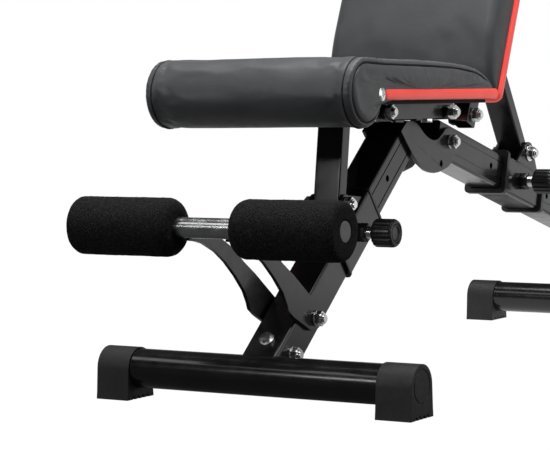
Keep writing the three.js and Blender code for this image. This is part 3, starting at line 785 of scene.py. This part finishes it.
def make_camera():
    forward = Vector((math.sin(VIEW_ANGLE) * math.cos(PITCH), math.cos(VIEW_ANGLE) * math.cos(PITCH),
                      -math.sin(PITCH)))
    right = Vector((math.cos(VIEW_ANGLE), -math.sin(VIEW_ANGLE), 0))
    up = right.cross(forward)
    right, up = (right * math.cos(ROLL) - up * math.sin(ROLL),
                 up * math.cos(ROLL) + right * math.sin(ROLL))
    data = bpy.data.cameras.new("camera")
    data.lens = LENS
    data.sensor_width = 36.0
    data.shift_y = SHIFT_UP
    cam = bpy.data.objects.new("camera", data)
    bpy.context.scene.collection.objects.link(cam)
    turn = Matrix((right, up, -forward)).transposed()
    cam.matrix_world = Matrix.Translation(CAMERA_AT) @ turn.to_4x4()
    bpy.context.scene.camera = cam


def area_light(name, at, target, size, power):
    data = bpy.data.lights.new(name, "AREA")
    data.shape = "RECTANGLE"
    data.size, data.size_y = size
    data.energy = power
    obj = bpy.data.objects.new(name, data)
    bpy.context.scene.collection.objects.link(obj)
    obj.location = at
    obj.rotation_euler = (Vector(target) - Vector(at)).to_track_quat("-Z", "Y").to_euler()


def math_node(tree, operation, a, b=None, c=None):
    node = tree.nodes.new("ShaderNodeMath")
    node.operation = operation
    for socket, value in zip(node.inputs, (a, b, c)):
        if value is None:
            continue
        if isinstance(value, (int, float)):
            socket.default_value = value
        else:
            tree.links.new(value, socket)
    return node.outputs[0]


def seen_white(tree, colour):
    """The colour given, or plain white where the camera looks straight at it."""
    seen = tree.nodes.new("ShaderNodeLightPath").outputs["Is Camera Ray"]
    mix = tree.nodes.new("ShaderNodeMix")
    mix.data_type = "RGBA"
    tree.links.new(seen, mix.inputs["Factor"])
    tree.links.new(colour, mix.inputs["A"])
    mix.inputs["B"].default_value = (1, 1, 1, 1)
    return mix.outputs["Result"]


def make_world():
    """Bright low band behind and to the right of the bench, dark in front and overhead, shown white."""
    world = bpy.data.worlds.new("world")
    bpy.context.scene.world = world
    world.use_nodes = True
    tree = world.node_tree
    back = tree.nodes["Background"]
    coords = tree.nodes.new("ShaderNodeTexCoord").outputs["Generated"]
    split = tree.nodes.new("ShaderNodeSeparateXYZ")
    tree.links.new(coords, split.inputs[0])
    low = ramp(tree, split.outputs["Z"], (1.0, 1.0, 1.0), (0.16, 0.16, 0.165), 0.10, 0.42)
    facing = math_node(tree, "ADD", math_node(tree, "MULTIPLY", split.outputs["X"], 0.72),
                       math_node(tree, "MULTIPLY", split.outputs["Y"], -0.55))
    side = ramp(tree, math_node(tree, "MULTIPLY_ADD", facing, 0.5, 0.5),
                (0.05, 0.05, 0.055), (0.52, 0.52, 0.52), 0.25, 0.85)
    both = tree.nodes.new("ShaderNodeVectorMath")
    both.operation = "MULTIPLY"
    tree.links.new(low, both.inputs[0])
    tree.links.new(side, both.inputs[1])
    tree.links.new(seen_white(tree, both.outputs[0]), back.inputs["Color"])
    back.inputs["Strength"].default_value = 1.0


def make_floor():
    """Floor that shows white and lights the bench more from behind than from in front."""
    bm = bmesh.new()
    bmesh.ops.create_grid(bm, x_segments=2, y_segments=2, size=60.0)
    mesh = bpy.data.meshes.new("floor")
    bm.to_mesh(mesh)
    bm.free()
    floor = bpy.data.objects.new("floor", mesh)
    bpy.context.scene.collection.objects.link(floor)
    floor.location.z = -0.0005
    mat, tree, shader, co = new_material("floor")
    split = tree.nodes.new("ShaderNodeSeparateXYZ")
    tree.links.new(co, split.inputs[0])
    depth = math_node(tree, "ADD", math_node(tree, "MULTIPLY", split.outputs["X"], 0.858),
                      math_node(tree, "MULTIPLY", split.outputs["Y"], 0.51))
    grey = ramp(tree, math_node(tree, "MULTIPLY_ADD", depth, 0.6, 0.5),
                (0.05, 0.05, 0.05), (0.78, 0.78, 0.78), 0.28, 0.82)
    tree.links.new(seen_white(tree, grey), shader.inputs["Emission Color"])
    tree.links.new(ramp(tree, noise_node(tree, co, 3.0), (0.02, 0.02, 0.02), (0.03, 0.03, 0.03)),
                   shader.inputs["Base Color"])
    set_inputs(shader, Roughness=1.0, Emission_Strength=1.0, Specular_IOR_Level=0.0)
    mesh.materials.append(mat)


make_camera()
make_world()
make_floor()
area_light("overhead", (-0.3, -0.2, 2.9), (-0.1, 0, 0.4), (2.6, 2.6), 132)
area_light("side", (0.8, -3.0, 1.0), (0, 0, 0.4), (2.2, 1.6), 14)
area_light("strip", (-1.65, 1.25, 1.78), (-0.48, 0, 0.05), (1.7, 0.45), 5)
area_light("front", (-3.0, 0.6, 1.1), (-0.5, 0, 0.25), (1.6, 0.35), 16)
bpy.context.scene.view_settings.view_transform = "Standard"
